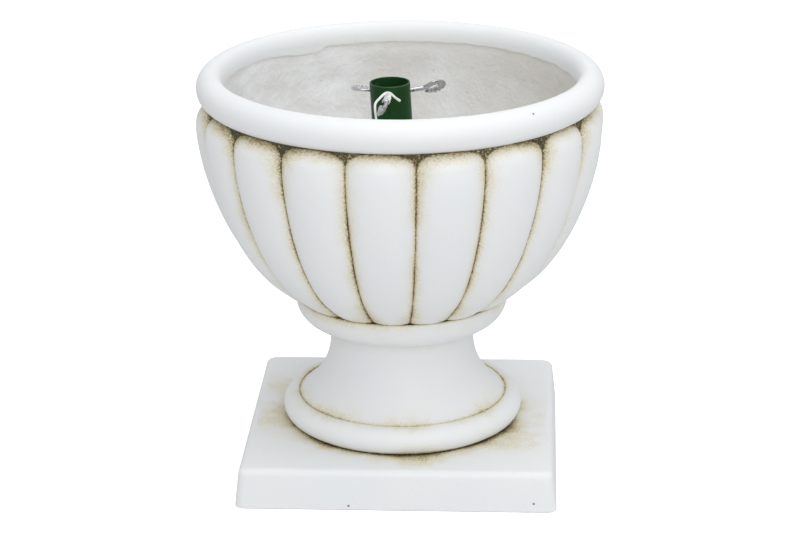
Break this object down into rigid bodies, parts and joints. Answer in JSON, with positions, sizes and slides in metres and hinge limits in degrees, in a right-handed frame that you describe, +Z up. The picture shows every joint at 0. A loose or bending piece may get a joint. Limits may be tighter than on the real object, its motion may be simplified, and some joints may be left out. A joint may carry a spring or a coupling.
{
  "type": "urn planter",
  "caption": "Footed urn planter with a lobed bowl, rolled rim and square plinth, and a steel socket tube with eye bolts inside for a tree pole.",
  "frame": {"origin": "middle of the plinth's underside, on the surface that the urn stands on", "axes": "+Z up, through the middle of the bowl; the plinth's sides are square to X and Y; -Y is the side that the picture shows"},
  "size_m": [0.3814, 0.3826, 0.3856],
  "materials": {
    "white_casting": "matte",
    "green_paint": "satin",
    "zinc": "satin",
    "brass": "satin",
    "white_plastic": "satin"
  },
  "bodies": {
    "root": {"plinth": "white_casting", "pedestal": "white_casting", "urn_bowl": "white_casting", "tube_plate": "green_paint", "pole_tube": "green_paint", "clamp_bolt_1": "zinc", "clamp_bolt_2": "zinc", "clamp_bolt_3": "zinc", "clamp_bolt_4": "zinc", "clamp_washer_1": "zinc", "clamp_washer_2": "zinc", "clamp_washer_3": "zinc", "clamp_washer_4": "zinc", "clamp_nut_1": "zinc", "clamp_nut_2": "zinc", "clamp_nut_3": "zinc", "clamp_nut_4": "zinc", "foot_bolt_1": "zinc", "foot_bolt_2": "zinc", "foot_bolt_3": "zinc", "foot_bolt_4": "zinc", "foot_washer_1": "zinc", "foot_washer_2": "zinc", "foot_washer_3": "zinc", "foot_washer_4": "zinc", "foot_insert_1": "brass", "foot_insert_2": "brass", "foot_insert_3": "brass", "foot_insert_4": "brass"},
    "front_bolt": {"eye_bolt_front": "zinc", "twist_tie": "white_plastic"},
    "right_bolt": {"eye_bolt_right": "zinc"},
    "left_bolt": {"eye_bolt_left": "zinc"}
  },
  "joints": [
    {"name": "front_bolt_slide", "type": "slide", "parent": "root", "child": "front_bolt", "axis": [-0.1044, -0.9945, -0.0055], "range_m": [-0.006, 0.0055]},
    {"name": "right_bolt_slide", "type": "slide", "parent": "root", "child": "right_bolt", "axis": [0.9123, 0.4067, 0.0478], "range_m": [-0.012, 0.0015]},
    {"name": "left_bolt_slide", "type": "slide", "parent": "root", "child": "left_bolt", "axis": [-0.8079, 0.5878, -0.0423], "range_m": [-0.0013, 0.01]}
  ]
}
